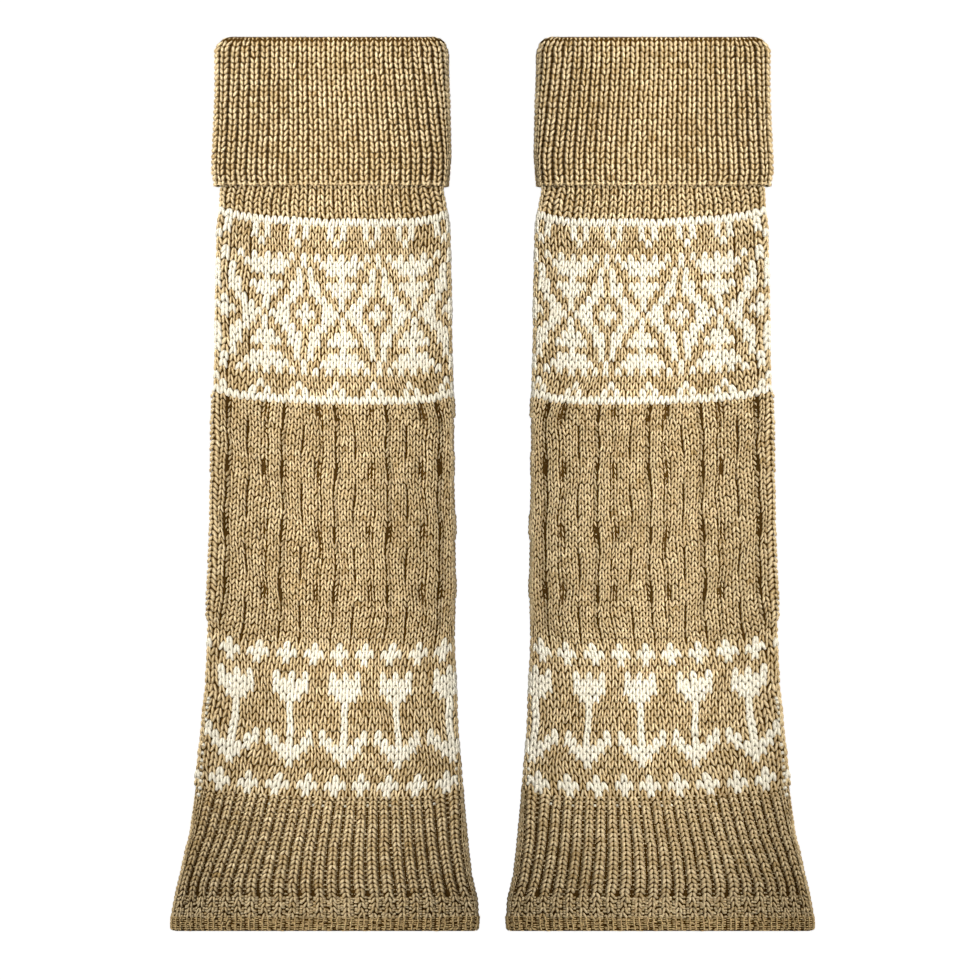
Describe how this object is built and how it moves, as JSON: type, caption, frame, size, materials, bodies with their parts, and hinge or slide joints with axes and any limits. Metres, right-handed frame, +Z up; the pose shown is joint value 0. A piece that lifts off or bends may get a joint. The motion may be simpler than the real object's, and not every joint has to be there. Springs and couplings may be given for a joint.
{
  "type": "pair of calf warmers",
  "caption": "Pair of knitted calf warmers laid flat side by side, with ribbed turned-down cuffs, textured and patterned legs and flared ribbed hems.",
  "frame": {"origin": "on the surface that the pair lies on, at the middle of the pair's box seen from above", "axes": "+Y from the hems to the cuffs, +X across the pair from the left warmer to the right one, +Z up from the surface, out of the front faces"},
  "size_m": [0.3022, 0.42, 0.01],
  "materials": {
    "camel_knit": "soft matt camel-coloured knitting yarn",
    "cream_knit": "soft matt cream knitting yarn of the two-colour bands"
  },
  "bodies": {
    "root": {"left_front_panel": "camel_knit", "left_back_panel": "camel_knit", "left_turned_cuff": "camel_knit", "left_hem_band": "camel_knit", "right_front_panel": "camel_knit", "right_back_panel": "camel_knit", "right_turned_cuff": "camel_knit", "right_hem_band": "camel_knit"}
  },
  "joints": []
}
